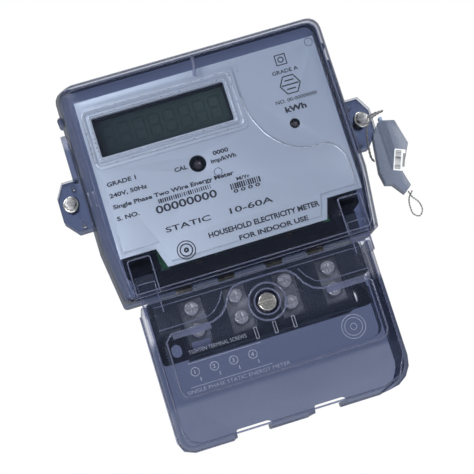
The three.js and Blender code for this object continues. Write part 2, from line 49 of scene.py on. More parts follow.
# ------------------------------------------------------------------ camera
def aim(place, yaw, pitch, roll, lens):
    """A camera turned yaw to the right, pitch up and rolled clockwise, in degrees."""
    y, p, r = (math.radians(v) for v in (yaw, pitch, roll))
    ahead = Vector((math.sin(y) * math.cos(p), math.cos(y) * math.cos(p), math.sin(p)))
    level = Vector((math.cos(y), -math.sin(y), 0))
    over = level.cross(ahead)
    right = level * math.cos(r) - over * math.sin(r)
    up = over * math.cos(r) + level * math.sin(r)
    m = Matrix((right, up, -ahead)).transposed().to_4x4()
    m.translation = place
    data = bpy.data.cameras.new("camera")
    data.lens, data.sensor_width, data.clip_start = lens, 36, 0.01
    cam = bpy.data.objects.new("camera", data)
    cam.matrix_world = m
    scene.collection.objects.link(cam)
    scene.camera = cam


CAMERA_AT, YAW, PITCH, ROLL, LENS = Vector((-0.05528, -0.63055, -0.11296)), 5.0, 8.39, 17.38, 98.73
aim(CAMERA_AT, YAW, PITCH, ROLL, LENS)


# ------------------------------------------------------------------ shader maths
class Val:
    """A shader socket that adds Math nodes as it is added to, multiplied and clipped."""

    def __init__(self, look, out):
        self.look, self.out = look, out

    def _do(self, what, a, b, clamp=False):
        return Val(self.look, self.look.node("ShaderNodeMath", {"operation": what, "use_clamp": clamp}, a, b))

    def __add__(self, o): return self._do("ADD", self, o)
    def __radd__(self, o): return self._do("ADD", o, self)
    def __sub__(self, o): return self._do("SUBTRACT", self, o)
    def __rsub__(self, o): return self._do("SUBTRACT", o, self)
    def __mul__(self, o): return self._do("MULTIPLY", self, o)
    def __rmul__(self, o): return self._do("MULTIPLY", o, self)
    def __pow__(self, o): return self._do("POWER", self, o)
    def high(self, o): return self._do("MAXIMUM", self, o)
    def clip(self): return self._do("ADD", self, 0.0, True)


def put(tree, kind, settings=None, values=(), named=None, out=0):
    """Adds one node: its settings first, then the values or links of its sockets."""
    n = tree.nodes.new(kind)
    for k, v in (settings or {}).items():
        if k == "stops":
            while len(n.color_ramp.elements) < len(v):
                n.color_ramp.elements.new(0.5)
            for e, (at, c) in zip(n.color_ramp.elements, v):
                e.position, e.color = at, (*c, 1) if hasattr(c, "__len__") else (c, c, c, 1)
        else:
            setattr(n, k, v)
    for key, v in list(enumerate(values)) + list((named or {}).items()):
        if v is None:
            continue
        s = n.inputs[key.replace("_", " ") if isinstance(key, str) else key]
        v = getattr(v, "out", v)
        if isinstance(v, bpy.types.NodeSocket):
            tree.links.new(v, s)
        else:
            s.default_value = (*v, 1) if hasattr(v, "__len__") and len(v) == 3 and s.type == "RGBA" else v
    return n.outputs[out] if out is not None else n


class Look:
    """One material, built node by node."""

    def __init__(self, name):
        self.mat = bpy.data.materials.new(name)
        self.mat.use_nodes = True
        self.tree = self.mat.node_tree
        self.tree.nodes.clear()
        self.place = self.node("ShaderNodeTexCoord", out="Object")

    def node(self, kind, settings=None, *values, out=0, **named):
        return put(self.tree, kind, settings, values, named, out)

    def scaled(self, *size):
        return self.node("ShaderNodeMapping", {}, self.place, Scale=size)

    def noise(self, scale, detail=3.0, rough=0.55, at=None):
        return Val(self, self.node("ShaderNodeTexNoise", {}, Vector=at or self.place, Scale=scale, Detail=detail,
                                   Roughness=rough))

    def cells(self, scale, at=None, feature="F1"):
        return Val(self, self.node("ShaderNodeTexVoronoi", {"feature": feature}, Vector=at or self.place,
                                   Scale=scale))

    def axis(self, name):
        return Val(self, self.node("ShaderNodeSeparateXYZ", {}, self.place, out=name))

    def ramp(self, fac, *stops):
        return Val(self, self.node("ShaderNodeValToRGB", {"stops": stops}, fac))

    def blend(self, fac, a, b):
        return self.node("ShaderNodeMix", {"data_type": "RGBA"}, fac, *[None] * 5, a, b, out=2)

    def bump(self, height, strength=0.3, distance=0.0002):
        return self.node("ShaderNodeBump", {}, Strength=strength, Distance=distance, Height=height)

    def shader(self, color, rough, metal=0.0, **more):
        return self.node("ShaderNodeBsdfPrincipled", {}, Base_Color=color, Roughness=rough, Metallic=metal, **more)

    def done(self, surface):
        self.node("ShaderNodeOutputMaterial", {}, surface, out=None)
        return self.mat


# ------------------------------------------------------------------ finishes
def moulded(name, color, rough=0.5, grain=2600, lift=0.25, fade=0.25, shine=0.5):
    """Injection-moulded plastic: fine texture, slight mottling, a little dust in the gloss."""
    k = Look(name)
    cloud = k.noise(45, 4)
    fine = k.noise(grain, 2)
    shade = k.blend(cloud, tuple(c * (1 - fade) for c in color), tuple(min(1, c * (1 + fade)) for c in color))
    return k.done(k.shader(shade, (rough - 0.1 + 0.2 * cloud).clip(), Specular_IOR_Level=shine,
                           Normal=k.bump(fine + cloud * 0.4, lift)))


def metal(name, color, rough=0.28, stretch=(1, 1, 1), dull=0.15, tarnish=None, bare=1.0):
    """Plated or machined metal: fine drawn lines, cloudy gloss and a few darker spots."""
    k = Look(name)
    lines = k.noise(900, 2, at=k.scaled(*stretch))
    cloud = k.noise(160, 4)
    spots = k.ramp(k.noise(420, 3), (0.55, 0.0), (0.72, 1.0))
    dark = tarnish or tuple(c * 0.55 for c in color)
    shade = k.blend(spots * 0.45 + cloud * 0.2, color, dark)
    gloss = (rough + (lines - 0.5) * 0.25 + spots * dull).clip()
    return k.done(k.shader(shade, gloss, bare, Normal=k.bump(lines, 0.12, 0.0001)))


def smoky(name, tint, body, base=0.07, edge=0.75, rough=0.06, haze=0.0, painted_shade=None):
    """See-through tinted polycarbonate: clear seen square on, darker and glossier towards its edges.
    The last argument gives a second, darker tint, a painted shade, and where it lies."""
    k = Look(name)
    scuff = k.ramp(k.noise(520, 5, 0.7), (0.56, 0.0), (0.8, 1.0))
    cloud = k.noise(28, 3)
    facing = Val(k, k.node("ShaderNodeLayerWeight", {}, Blend=0.32, out="Facing"))
    amount = base + haze * cloud + (facing ** 2.2) * edge + scuff * 0.03
    gloss = k.shader(body, (rough + scuff * 0.12 + cloud * 0.03).clip(), IOR=1.58, Specular_IOR_Level=0.7,
                     Normal=k.bump(cloud * 0.6 + scuff * 0.3, 0.06, 0.0003))
    clear = k.node("ShaderNodeBsdfTransparent", {}, Color=tint)
    # Painted shade: a darker see-through tint wherever the mask says.
    if painted_shade:
        darker, where = painted_shade
        clear = k.node("ShaderNodeMixShader", {}, where(k), clear,
                       k.node("ShaderNodeBsdfTransparent", {}, Color=darker))
    return k.done(k.node("ShaderNodeMixShader", {}, amount.clip(), clear, gloss))


def painted_shade_below_block(k):
    """Where the terminal cover stands clear of the block: a painted shade that deepens its smoke there, eased in
    streaks over the skirt.
    """
    streak = k.noise(16, 2, at=k.scaled(1, 1, 2.5))
    skirt = ((-0.091 - k.axis("Z")) * 400.0).clip()
    beside = ((k.axis("X") * k.axis("X") - 0.0016) * 20000.0).clip() * ((-0.0595 - k.axis("Z")) * 300.0).clip()
    return ((-0.0675 - k.axis("Z")) * 180.0).clip().high(beside) * (1.0 - skirt * (0.05 + 0.26 * streak))


cover_clear = smoky("smoky polycarbonate", (0.89, 0.91, 0.95), (0.05, 0.06, 0.10), base=0.06, edge=0.95)
# The terminal cover's lower part takes a second, darker tint: painted shade, not a change in the plastic.
lid_clear = smoky("smoky polycarbonate of the terminal cover", (0.86, 0.87, 0.92), (0.10, 0.12, 0.19), base=0.09,
                  edge=0.75, painted_shade=((0.31, 0.345, 0.46), painted_shade_below_block))
# A paler, more opaque copy of the smoky plastic: painted light and shade along edges, beads, ledges and the pad on
# the lid.
painted_light_clear = smoky("moulded edge of the smoky plastic", (0.55, 0.58, 0.70), (0.16, 0.18, 0.28), base=0.4, edge=0.5,
                   rough=0.1)
# A paler copy of the smoky plastic for raised lettering, rings, ticks and finger rims: painted highlight on raised
# clear detail.
painted_highlight_raised = smoky("raised lettering of the smoky plastic", (0.8, 0.82, 0.88), (0.40, 0.43, 0.54), base=0.42,
                     edge=0.4, rough=0.12)
# A still paler copy of the smoky plastic for the rib at the top of the cover: painted highlight.
painted_highlight_rib = smoky("glassy rib with painted highlight", (0.9, 0.92, 0.95), (0.62, 0.66, 0.72), base=0.45, edge=0.4, rough=0.08)
frosted_seal = smoky("frosted seal plastic", (0.56, 0.60, 0.69), (0.17, 0.20, 0.27), base=0.36, edge=0.5,
                     rough=0.2, haze=0.35)
base_plastic = smoky("smoky base plastic", (0.44, 0.49, 0.64), (0.022, 0.027, 0.05), base=0.2, edge=0.8, rough=0.12,
                     haze=0.1)
black_plastic = moulded("black terminal plastic", (0.010, 0.012, 0.018), 0.3, 4500, 0.04, shine=0.2)
white_film = moulded("reflector film", (0.62, 0.65, 0.66), 0.6)
rubber = moulded("gasket rubber", (0.012, 0.012, 0.013), 0.75, 1800, 0.4)
coil_wrap = moulded("coil tape", (0.55, 0.36, 0.04), 0.38, 700)
cell_sleeve = moulded("cell sleeve", (0.03, 0.2, 0.09), 0.3, 900)
dipped = moulded("dipped capacitor coat", (0.025, 0.08, 0.3), 0.3, 500, 0.5)
chip_resin = moulded("chip resin", (0.015, 0.015, 0.016), 0.6)
rotor_blue = moulded("seal rotor plastic", (0.28, 0.36, 0.5), 0.25)
nickel = metal("bright nickel plate", (0.90, 0.89, 0.87), 0.16)
tinned = metal("tinned terminal metal", (0.97, 0.96, 0.93), 0.26, (1, 1, 5), bare=0.45)
sealing_screw = metal("sealing screw plate", (0.58, 0.57, 0.55), 0.24)
clamp_plate = metal("plated clamp screw", (0.94, 0.92, 0.88), 0.22, bare=0.7)
zinc = metal("zinc plated steel", (0.6, 0.61, 0.63), 0.32)
wire_steel = metal("dulled seal wire", (0.30, 0.30, 0.31), 0.38)
# Paler than the nameplate's silver: painted highlight along the plate's pressed edges.
painted_highlight_edge = metal("pressed edge with painted highlight", (0.86, 0.88, 0.92), 0.3)
brass = metal("machined brass", (0.78, 0.58, 0.26), 0.28, (1, 1, 6), tarnish=(0.4, 0.24, 0.08))
copper_alloy = metal("rolled shunt strip", (0.66, 0.36, 0.2), 0.35, (8, 1, 1))


def silver_print():
    """Nameplate: silver print over moulded plastic, with a fine metallic grain; painted shade makes it darker and
    bluer towards its upper right.
    """
    k = Look("silver nameplate print")
    flake = k.noise(4200, 2, 0.7)
    cloud = k.noise(14, 3)
    # Painted shade: the print darkens and turns bluer towards the upper right.
    painted_shade_across = (k.axis("X") * 5.0 + k.axis("Z") * 5.0 + 0.35).clip()
    tone = k.blend(painted_shade_across * 0.8 + cloud * 0.2, (0.58, 0.62, 0.66), (0.36, 0.41, 0.49))
    shade = k.blend(flake * 0.3, tone, (0.60, 0.63, 0.67))
    return k.done(k.shader(shade, (0.36 + flake * 0.22).clip(), 0.25, Normal=k.bump(flake, 0.18, 0.0001)))


def register_face():
    """Register glass: dark green field, paler towards its upper right as painted light on the glass, with faint
    clouding.
    """
    k = Look("register glass")
    cloud = k.noise(34, 4)
    # Painted light: the glass is made paler towards its upper right.
    painted_light_rise = (k.axis("X") * 11.0 + (k.axis("Z") - 0.026) * 14.0 + 0.42).clip()
    tone = k.blend((painted_light_rise * 0.75 + cloud * 0.25).clip(), (0.018, 0.026, 0.028), (0.055, 0.085, 0.07))
    return k.done(k.shader(tone, (0.16 + cloud * 0.08).clip(), Coat_Weight=0.15, Coat_Roughness=0.05,
                           Specular_IOR_Level=0.3, Normal=k.bump(cloud, 0.04, 0.0002)))


def solder_resist():
    """Circuit board: green resist with paler tracks and a fine weave in its gloss and bump."""
    k = Look("solder resist")
    tracks = k.ramp(k.cells(330, feature="DISTANCE_TO_EDGE"), (0.04, 1.0), (0.09, 0.0))
    weave = k.noise(1500, 2)
    shade = k.blend(tracks, (0.012, 0.09, 0.03), (0.03, 0.2, 0.07))
    return k.done(k.shader(shade, (0.32 + weave * 0.2).clip(), Normal=k.bump(tracks + weave * 0.2, 0.25, 0.0001)))


def tinted_lens(name, color):
    k = Look(name)
    cloud = k.noise(500, 3)
    return k.done(k.shader(k.blend(cloud, color, tuple(c * 0.6 for c in color)), (0.08 + cloud * 0.1).clip(),
                           Coat_Weight=0.5))


def ink(name, color, rough=0.45):
    """Printed ink, slightly uneven in its film."""
    k = Look(name)
    film = k.noise(900, 4)
    return k.done(k.shader(k.blend(film, color, tuple(min(1, c + 0.05) for c in color)),
                           (rough + film * 0.15).clip(), Normal=k.bump(film, 0.1, 0.00005)))


silver = silver_print()
register = register_face()
board_green = solder_resist()
red_lens = tinted_lens("dark lens", (0.05, 0.04, 0.045))
ink_dark = ink("dark print", (0.008, 0.009, 0.014))
ink_white = ink("label white", (0.72, 0.74, 0.76))
segment_ghost = smoky("unlit segment", (0.94, 0.95, 0.94), (0.03, 0.04, 0.036), base=0.02, edge=0.05)

FINISH = {
    "base": base_plastic, "gasket": rubber, "main_cover": cover_clear, "terminal_cover": lid_clear,
    "nameplate": silver, "plate_carrier": black_plastic, "lcd_frame": black_plastic, "lcd_glass": register,
    "lcd_reflector": white_film, "contact_strip": rubber, "circuit_board": board_green,
    "calibration_led": red_lens, "pulse_led": red_lens, "board_screw": zinc, "supply_transformer": coil_wrap,
    "battery": cell_sleeve, "film_capacitor": dipped, "filter_capacitor": chip_resin, "varistor": dipped,
    "metering_chip": chip_resin, "display_chip": chip_resin, "terminal_block": black_plastic,
    "terminal_foot": black_plastic,
    "terminal_bar": tinned, "chassis": black_plastic, "terminal_shroud": black_plastic,
    "clamp_screw": clamp_plate, "shunt": copper_alloy, "neutral_link": brass, "sense_pin": brass,
    "screw_insert": brass, "cover_screw": sealing_screw, "screw_clip": zinc, "lug_eyelet": nickel, "lug_screw": zinc,
    "lug_insert": brass, "seal_body": frosted_seal, "seal_rotor": rotor_blue, "seal_wire": wire_steel,
}


def finish_of(name):
    return FINISH[max((k for k in FINISH if name.startswith(k)), key=len)]


def dress(obj, look):
    obj.data.materials.clear()
    obj.data.materials.append(look)


for name, obj in nodes.items():
    dress(obj, finish_of(name))


# ------------------------------------------------------------------ pieces
def keep(name, mesh, look, body):
    mesh.materials.clear()
    mesh.materials.append(look)
    obj = bpy.data.objects.new(name, mesh)
    scene.collection.objects.link(obj)
    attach(obj, body)
    return obj


def finished(obj):
    """The evaluated mesh of a scratch object, which is then removed."""
    deps = bpy.context.evaluated_depsgraph_get()
    deps.update()
    mesh = bpy.data.meshes.new_from_object(obj.evaluated_get(deps))
    bpy.data.objects.remove(obj)
    return mesh


def body_with(node):
    return next(b for b, members in frame["record"]["behaviour"]["bodies"].items() if node in members)


def rounded(node, radius, segments=2, angle=28):
    """A copy of a CAD node with its edges broken, standing for that node."""
    bm = bmesh.new()
    bm.from_mesh(nodes[node].data)
    bmesh.ops.remove_doubles(bm, verts=bm.verts, dist=2e-6)
    if node != "terminal_block":  # its faces hold openings that the clean-up would close
        bmesh.ops.dissolve_limit(bm, angle_limit=math.radians(1.2), verts=bm.verts, edges=bm.edges)
        bmesh.ops.dissolve_degenerate(bm, dist=1e-6, edges=bm.edges)
    mesh = bpy.data.meshes.new(node + "_fine")
    bm.to_mesh(mesh)
    bm.free()
    obj = bpy.data.objects.new("scratch", mesh)
    scene.collection.objects.link(obj)
    m = obj.modifiers.new("edges", "BEVEL")
    m.width, m.segments, m.limit_method, m.angle_limit = radius * MM, segments, "ANGLE", math.radians(angle)
    m.use_clamp_overlap, m.harden_normals, m.miter_outer = True, False, "MITER_ARC"
    mesh = finished(obj)
    mesh.name = node + "_fine"
    for p in mesh.polygons:
        p.use_smooth = True
    mesh.set_sharp_from_angle(angle=math.radians(32))
    out = keep(node + "_fine", mesh, finish_of(node), body_with(node))
    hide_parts(node)
    return out


for node, r in (("base", 0.5), ("main_cover", 0.35), ("terminal_cover", 0.35), ("nameplate", 0.15),
                ("terminal_block", 0.4), ("lcd_frame", 0.25), ("seal_body", 0.6)):
    rounded(node, r)
for node in nodes:
    if node.startswith(("terminal_bar", "clamp_screw", "cover_screw", "lug_screw", "lug_eyelet")):
        rounded(node, 0.15)

# ------------------------------------------------------------------ seal wire: two strands laid up together
def smooth_route(points, n):
    """Points along one smooth curve through the given ones."""
    p = [Vector(q) * MM for q in points]
    p = [p[0] * 2 - p[1], *p, p[-1] * 2 - p[-2]]
    out = []
    for i in range(1, len(p) - 2):
        a, b, c, d = p[i - 1:i + 3]
        t = [0.0]
        for u, v in ((a, b), (b, c), (c, d)):
            t.append(t[-1] + max((v - u).length, 1e-9) ** 0.5)
        for k in range(n):
            s = t[1] + (t[2] - t[1]) * k / n
            a1 = a.lerp(b, (s - t[0]) / (t[1] - t[0]))
            a2 = b.lerp(c, (s - t[1]) / (t[2] - t[1]))
            a3 = c.lerp(d, (s - t[2]) / (t[3] - t[2]))
            b1 = a1.lerp(a2, (s - t[0]) / (t[2] - t[0]))
            b2 = a2.lerp(a3, (s - t[1]) / (t[3] - t[1]))
            out.append(b1.lerp(b2, (s - t[1]) / (t[2] - t[1])))
    out.append(p[-2])
    return out


def laid_strands(name, route, radius, strand, lay, body, node):
    """Two round strands twisted about a route, as one mesh."""
    bm = bmesh.new()
    along, far = [0.0], 0.0
    for a, b in zip(route, route[1:]):
        far += (b - a).length
        along.append(far)
    ahead = [(route[min(i + 1, len(route) - 1)] - route[max(i - 1, 0)]).normalized() for i in range(len(route))]
    side = ahead[0].orthogonal().normalized()
    frames = []
    for t in ahead:
        side = (side - t * side.dot(t)).normalized()
        frames.append((side.copy(), t.cross(side)))
    for turn in (0, math.pi):
        rings = []
        for (p, s, (u, v)) in zip(route, along, frames):
            a = turn + 2 * math.pi * s / lay
            mid = p + (u * math.cos(a) + v * math.sin(a)) * (radius - strand)
            rings.append([bm.verts.new(mid + (u * math.cos(b) + v * math.sin(b)) * strand)
                          for b in (k * math.pi / 4 for k in range(8))])
        for r0, r1 in zip(rings, rings[1:]):
            for k in range(8):
                bm.faces.new((r0[k], r0[(k + 1) % 8], r1[(k + 1) % 8], r1[k]))
        bm.faces.new(rings[0][::-1])
        bm.faces.new(rings[-1])
    bmesh.ops.recalc_face_normals(bm, faces=bm.faces)
    mesh = bpy.data.meshes.new(name)
    bm.to_mesh(mesh)
    bm.free()
    for p in mesh.polygons:
        p.use_smooth = True
    obj = keep(name, mesh, wire_steel, body)
    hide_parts(node)
    return obj, far


wire_route = smooth_route([(75.9, -23.1, 15), (79.5, -23.3, 15.6), (82.3, -24.6, 15.4), (82.4, -27.3, 14.8),
                           (79.4, -29.4, 13.8), (75.6, -30, 12.2), (72.2, -30, 8.2), (70.8, -30, 3),
                           (69.9, -30, -2.5), (69.8, -30, -6.4), (70.7, -30, -8.3)], 16)
tail_route = smooth_route([(81.5, -30, -26.5), (82.4, -30, -29.4), (84.8, -30, -33), (85.2, -29.8, -37),
                           (83.2, -29.4, -39.2), (80.8, -29, -37.6), (80.4, -28.4, -33.6), (81.4, -27.6, -29.6),
                           (84.4, -25.6, -26.2)], 16)
WIRE_R, TAIL_R = 0.6 * MM, 0.4 * MM
wire, wire_length = laid_strands("seal_wire_strands", wire_route, WIRE_R, 0.32 * MM, 3.6 * MM, "housing",
                                 "seal_wire")
tail, tail_length = laid_strands("seal_tail_strands", tail_route, TAIL_R, 0.22 * MM, 2.6 * MM, "seal",
                                 "seal_wire_tail")

# ------------------------------------------------------------------ print on the nameplate
def lettering(words, x, z, height, y, width=None, bold=0.045, align="LEFT"):
    """A line of text standing in the X-Z plane as a thin film, as scratch mesh."""
    data = bpy.data.curves.new("scratch", "FONT")
    data.body, data.size, data.align_x = words, height * MM / 0.7, align
    data.extrude, data.resolution_u, data.offset = 0.03 * MM, 3, bold * height * MM
    obj = bpy.data.objects.new("scratch", data)
    scene.collection.objects.link(obj)
    mesh = finished(obj)
    if width:
        xs = [v.co.x for v in mesh.vertices]
        mesh.transform(Matrix.Diagonal((width * MM / (max(xs) - min(xs)), 1, 1, 1)))
    mesh.transform(Matrix.Translation((x * MM, y * MM, z * MM)) @ Matrix.Rotation(math.pi / 2, 4, "X"))
    return mesh


def bar(x0, x1, z0, z1, y, thick=0.06):
    """A thin printed bar as scratch mesh."""
    bm = bmesh.new()
    bmesh.ops.create_cube(bm, size=1)
    bmesh.ops.transform(bm, verts=bm.verts, matrix=Matrix.Translation(
        ((x0 + x1) / 2 * MM, y * MM, (z0 + z1) / 2 * MM)) @ Matrix.Diagonal(
        ((x1 - x0) * MM, thick * MM, (z1 - z0) * MM, 1)))
    mesh = bpy.data.meshes.new("scratch")
    bm.to_mesh(mesh)
    bm.free()
    return mesh


def ring(x, z, r, w, y, sides=40, thick=0.06):
    """A printed ring; with four sides it is a square frame."""
    bm = bmesh.new()
    turn = math.pi / 4 if sides == 4 else 0
    loops = []
    for q, d in ((r, -1), (r, 1), (r - w, 1), (r - w, -1)):
        loops.append([bm.verts.new(((x + q * math.cos(a + turn)) * MM, (y + d * thick / 2) * MM,
                                    (z + q * math.sin(a + turn)) * MM))
                      for a in (2 * math.pi * k / sides for k in range(sides))])
    for a, b in zip(loops, loops[1:] + loops[:1]):
        for k in range(sides):
            bm.faces.new((a[k], a[(k + 1) % sides], b[(k + 1) % sides], b[k]))
    bmesh.ops.recalc_face_normals(bm, faces=bm.faces)
    mesh = bpy.data.meshes.new("scratch")
    bm.to_mesh(mesh)
    bm.free()
    return mesh


def merged(parts):
    """Several scratch meshes as one."""
    bm = bmesh.new()
    for mesh in parts:
        bm.from_mesh(mesh)
        bpy.data.meshes.remove(mesh)
    mesh = bpy.data.meshes.new("scratch")
    bm.to_mesh(mesh)
    bm.free()
    return mesh


def gathered(name, parts, look, body):
    """Several scratch meshes as one kept piece."""
    return keep(name, merged(parts), look, body)


# ------------------------------------------------------------------ trees that repeat and follow
def tree_of(name, sizes):
    """An empty Geometry Nodes tree with named inputs; gives the tree and its input node."""
    tree = bpy.data.node_groups.new(name, "GeometryNodeTree")
    tree.interface.new_socket("Geometry", in_out="INPUT", socket_type="NodeSocketGeometry")
    for label, kind in sizes.items():
        tree.interface.new_socket(label, in_out="INPUT", socket_type="NodeSocket" + kind)
    tree.interface.new_socket("Geometry", in_out="OUTPUT", socket_type="NodeSocketGeometry")
    return tree, put(tree, "NodeGroupInput", out=None).outputs


def close_tree(tree, shape, finish):
    real = put(tree, "GeometryNodeRealizeInstances", {}, (shape,))
    done = put(tree, "GeometryNodeSetMaterial", {}, (real,), {"Material": finish})
    put(tree, "NodeGroupOutput", {}, (done,), out=None)
    return tree


def row_tree():
    """Copies of one unit side by side, each as wide as chance makes it between two limits."""
    tree, i = tree_of("row of units", {"Count": "Int", "Start": "Float", "Pitch": "Float", "Least Width": "Float",
                                       "Greatest Width": "Float", "Seed": "Int", "Finish": "Material"})
    line = put(tree, "GeometryNodeMeshLine", {"mode": "OFFSET"}, (), {
        "Count": i["Count"], "Start Location": put(tree, "ShaderNodeCombineXYZ", {}, (i["Start"],)),
        "Offset": put(tree, "ShaderNodeCombineXYZ", {}, (i["Pitch"],))})
    wide = put(tree, "FunctionNodeRandomValue", {"data_type": "FLOAT"}, (
        None, None, i["Least Width"], i["Greatest Width"], None, None, None, None, i["Seed"]), out=1)
    size = put(tree, "ShaderNodeCombineXYZ", {}, (wide, 1.0, 1.0))
    copies = put(tree, "GeometryNodeInstanceOnPoints", {}, (line,), {"Instance": i["Geometry"], "Scale": size})
    return close_tree(tree, copies, i["Finish"])


def bead_tree():
    """A round bead laid along a line of edges."""
    tree, i = tree_of("bead along a line", {"Radius": "Float", "Sides": "Int", "Finish": "Material"})
    path = put(tree, "GeometryNodeMeshToCurve", {}, (i["Geometry"],))
    round_ = put(tree, "GeometryNodeCurvePrimitiveCircle", {"mode": "RADIUS"}, (), {
        "Resolution": i["Sides"], "Radius": i["Radius"]})
    swept = put(tree, "GeometryNodeCurveToMesh", {}, (path, round_), {"Fill Caps": True})
    soft = put(tree, "GeometryNodeSetShadeSmooth", {}, (swept,))
    return close_tree(tree, soft, i["Finish"])


ROW, BEAD = row_tree(), bead_tree()


def grown(unit, tree, **sizes):
    """What a tree makes of a unit mesh, as scratch mesh; the named sizes are the tree's inputs."""
    obj = bpy.data.objects.new("scratch", unit)
    scene.collection.objects.link(obj)
    m = obj.modifiers.new("grow", "NODES")
    m.node_group = tree
    for item in tree.interface.items_tree:
        label = item.name.replace(" ", "_").lower()
        if item.item_type == "SOCKET" and item.in_out == "INPUT" and label in sizes:
            m[item.identifier] = sizes[label]
    return finished(obj)


def row(unit, count, start, pitch, look, widths=(1.0, 1.0), seed=1):
    return grown(unit, ROW, count=count, start=start * MM, pitch=pitch * MM, least_width=widths[0],
                 greatest_width=widths[1], seed=seed, finish=look)


def bead(points, radius, look=None, closed=False, sides=8):
    """A bead through points in millimetres."""
    bm = bmesh.new()
    vs = [bm.verts.new(Vector(p) * MM) for p in points]
    for a, b in zip(vs, vs[1:] + vs[:1] if closed else vs[1:]):
        bm.edges.new((a, b))
    mesh = bpy.data.meshes.new("scratch")
    bm.to_mesh(mesh)
    bm.free()
    return grown(mesh, BEAD, radius=radius * MM, sides=sides, finish=look or painted_light_clear)


def around(x, z, r, y, n=40):
    """Points of a circle in the X-Z plane."""
    return [(x + r * math.cos(2 * math.pi * k / n), y, z + r * math.sin(2 * math.pi * k / n)) for k in range(n)]


def barcode(x0, x1, z0, z1, y, bars, seed):
    """Upright bars of uneven width between two ends."""
    pitch = (x1 - x0) / bars
    return row(bar(-pitch / 2, pitch / 2, z0, z1, y), bars, x0 + pitch / 2, pitch, ink_dark, (0.22, 0.85), seed)


def swung(mesh, x, z, degrees):
    """Turned in the X-Z plane about a place in millimetres."""
    at = Matrix.Translation((x * MM, 0, z * MM))
    mesh.transform(at @ Matrix.Rotation(math.radians(-degrees), 4, "Y") @ at.inverted())
    return mesh


# ------------------------------------------------------------------ print on the nameplate
PRINT_Y = -46.84
TOP_Y = -46.04
MARK = (-28, -25.6)
gathered("plate_print", [
    lettering("GRADE 1", -54.2, 12.6, 1.9, PRINT_Y, 13.8),
    lettering("240V, 50Hz", -54.4, 7.2, 1.9, PRINT_Y, 17.8),
    lettering("Single Phase Two Wire Energy Meter", -54.3, 1.8, 1.9, PRINT_Y, 57.5),
    lettering("S. NO.", -54.1, -3.9, 1.9, PRINT_Y, 10.5),
    lettering("00000000", -36.1, -5.9, 3.5, PRINT_Y, 29, 0.03),
    barcode(-34, -8.6, -1.5, 0.5, PRINT_Y, 25, 5),
    lettering("CAL", -22.6, 10.4, 1.9, PRINT_Y, 6.1),
    lettering("0000", -3.4, 13.0, 1.9, PRINT_Y, 7.4),
    lettering("imp/kWh", -5.4, 9.6, 1.9, PRINT_Y, 12),
    lettering("M/Yr", 3.4, -1.4, 1.5, PRINT_Y, 6.4),
    barcode(-0.4, 14.2, -4.9, -2.2, PRINT_Y, 14, 11),
    lettering("0 0 0 0", 0.6, -6.7, 1.5, PRINT_Y, 12.6),
    lettering("STATIC", -34.5, -15.4, 2.4, PRINT_Y, 21.3, 0.02),
    lettering("10-60A", -5.2, -15.5, 2.6, PRINT_Y, 20.6, 0.02),
    lettering("HOUSEHOLD ELECTRICITY METER", -16.5, -23.4, 2.4, PRINT_Y, 53, 0.05),
    lettering("FOR INDOOR USE", -3.5, -28.3, 2.1, PRINT_Y, 33, 0.05),
    ring(*MARK, 4.4, 0.45, PRINT_Y), ring(*MARK, 3.1, 0.6, PRINT_Y), ring(*MARK, 1.2, 0.9, PRINT_Y),
], ink_dark, "housing")
gathered("corner_print", [
    ring(40.2, 48, 3.77, 0.65, TOP_Y, 4), ring(40.2, 48, 1.5, 0.5, TOP_Y, 24),
    lettering("GRADE A", 34.2, 41.4, 1.8, TOP_Y, 12.5, 0.02),
    ring(41, 35.4, 5.2, 0.6, TOP_Y, 6), bar(36.9, 45.1, 35.1, 35.7, TOP_Y), bar(38.8, 43.2, 33.0, 33.6, TOP_Y),
    bar(38.8, 43.2, 37.2, 37.8, TOP_Y),
    lettering("NO. 00-00000000", 31.6, 27.6, 1.7, TOP_Y, 20, 0.01),
    lettering("kWh", 34.9, 22.8, 2.6, TOP_Y, 10.2, 0.06),
], ink_dark, "housing")

# pressed edges of the plate: the step that sweeps down from the register, and the register's surround, as beads in a
# metal paler than the plate's print: painted highlight
SWEEP = [(16.8, 35.6), (17.3, 29.5), (18.6, 25), (20.4, 20.6), (22.6, 16.3), (25.6, 12.4), (30, 8.3), (35.3, 5.4),
         (41, 4.2), (46.5, 4.1), (50, 3), (53, 0.5), (55, -3.5), (55.6, -8), (55.4, -18.5)]
LEFT, RIGHT, LOW, TOP = -52.5, 11.0, 26.4, 45.5


def surround(q, y, corner):
    """The register's outline, q wider on every side, with rounded corners."""
    out = []
    for x, z, turn in ((LEFT - q, LOW - q, 180), (RIGHT + q, LOW - q, 270), (RIGHT + q, TOP + q, 0),
                       (LEFT - q, TOP + q, 90)):
        mx, mz = x + math.copysign(corner, -x), z + (corner if z < 30 else -corner)
        for k in range(5):
            a = math.radians(turn + 22.5 * k)
            out.append((mx + corner * math.cos(a), y, mz + corner * math.sin(a)))
    return out


gathered("plate_edges", [
    bead([(x, -46.5, z) for x, z in SWEEP], 0.42), bead(surround(3.7, -47.2, 2.4), 0.45, closed=True),
    bead(surround(1.0, -47.25, 1.0), 0.4, closed=True), bead([(19.2, -46.1, 37), (19.2, -46.1, 54.5)], 0.15),
], painted_highlight_edge, "housing")

# unlit figures of the register, each of seven bars
GLASS_Y = -41.93
figure = merged([
    *[bar(-2.1, 2.1, z - 0.35, z + 0.35, GLASS_Y, 0.04) for z in (30.7, 36, 41.3)],
    *[bar(x - 0.35, x + 0.35, z - 2.2, z + 2.2, GLASS_Y, 0.04) for x in (-2.6, 2.6) for z in (33.35, 38.65)],
])
keep("register_figures", row(figure, 8, -46.4, 7.3, segment_ghost), segment_ghost, "housing")

